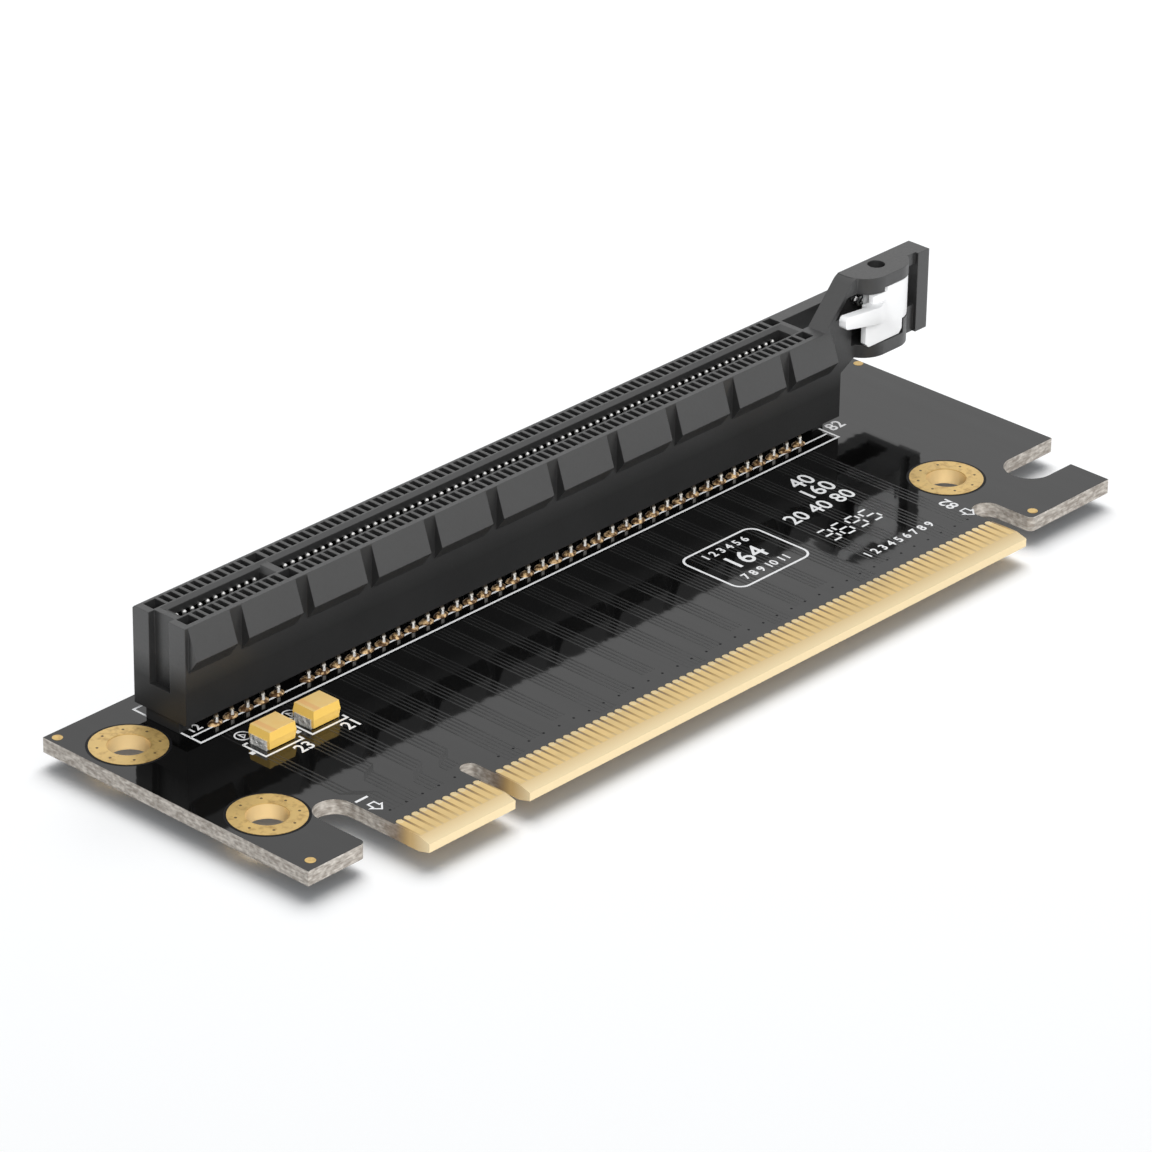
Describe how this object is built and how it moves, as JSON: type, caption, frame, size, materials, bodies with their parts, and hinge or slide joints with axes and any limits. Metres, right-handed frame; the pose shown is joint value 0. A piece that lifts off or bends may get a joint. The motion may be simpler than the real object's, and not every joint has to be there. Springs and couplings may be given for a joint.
{
  "type": "riser card",
  "caption": "Low riser card with a gold-fingered tongue, a long card slot with a spring latch lever, screw holes and two small capacitors.",
  "frame": {"origin": "middle of the underside of the part, at the level of the tips of the locating posts", "axes": "+X along the gold-fingered tongue towards the latch, +Y from the tongue towards the slot, +Z out of the slot's mouth"},
  "size_m": [0.1142, 0.0388, 0.019],
  "materials": {
    "solder_mask": "gloss",
    "gold": "satin",
    "black_plastic": "matte",
    "white_plastic": "matte",
    "steel": "satin",
    "contact_metal": "satin",
    "capacitor_moulding": "satin",
    "tinned_metal": "satin"
  },
  "bodies": {
    "card": {"capacitor_left_body": "capacitor_moulding", "capacitor_left_tab_1": "tinned_metal", "capacitor_left_tab_2": "tinned_metal", "capacitor_right_body": "capacitor_moulding", "capacitor_right_tab_1": "tinned_metal", "capacitor_right_tab_2": "tinned_metal", "circuit_board": "solder_mask", "contacts_front_long_inner": "contact_metal", "contacts_front_long_outer": "contact_metal", "contacts_front_short_inner": "contact_metal", "contacts_front_short_outer": "contact_metal", "contacts_rear_long_inner": "contact_metal", "contacts_rear_long_outer": "contact_metal", "contacts_rear_short_inner": "contact_metal", "contacts_rear_short_outer": "contact_metal", "edge_fingers_front": "gold", "edge_fingers_rear": "gold", "latch_pivot_pin": "steel", "latch_spring": "steel", "plated_holes": "gold", "slot_housing": "black_plastic"},
    "latch": {"latch_lever": "white_plastic"}
  },
  "joints": [
    {"name": "latch_pivot", "type": "hinge", "parent": "card", "child": "latch", "pos_m": [0.04975, 0.01058, 0.01437], "axis": [0, 0, -1], "range_deg": [0, 10], "stiffness_Nm_per_rad": 0.05, "springref_deg": -5.73, "deforming": ["latch_spring"]}
  ]
}
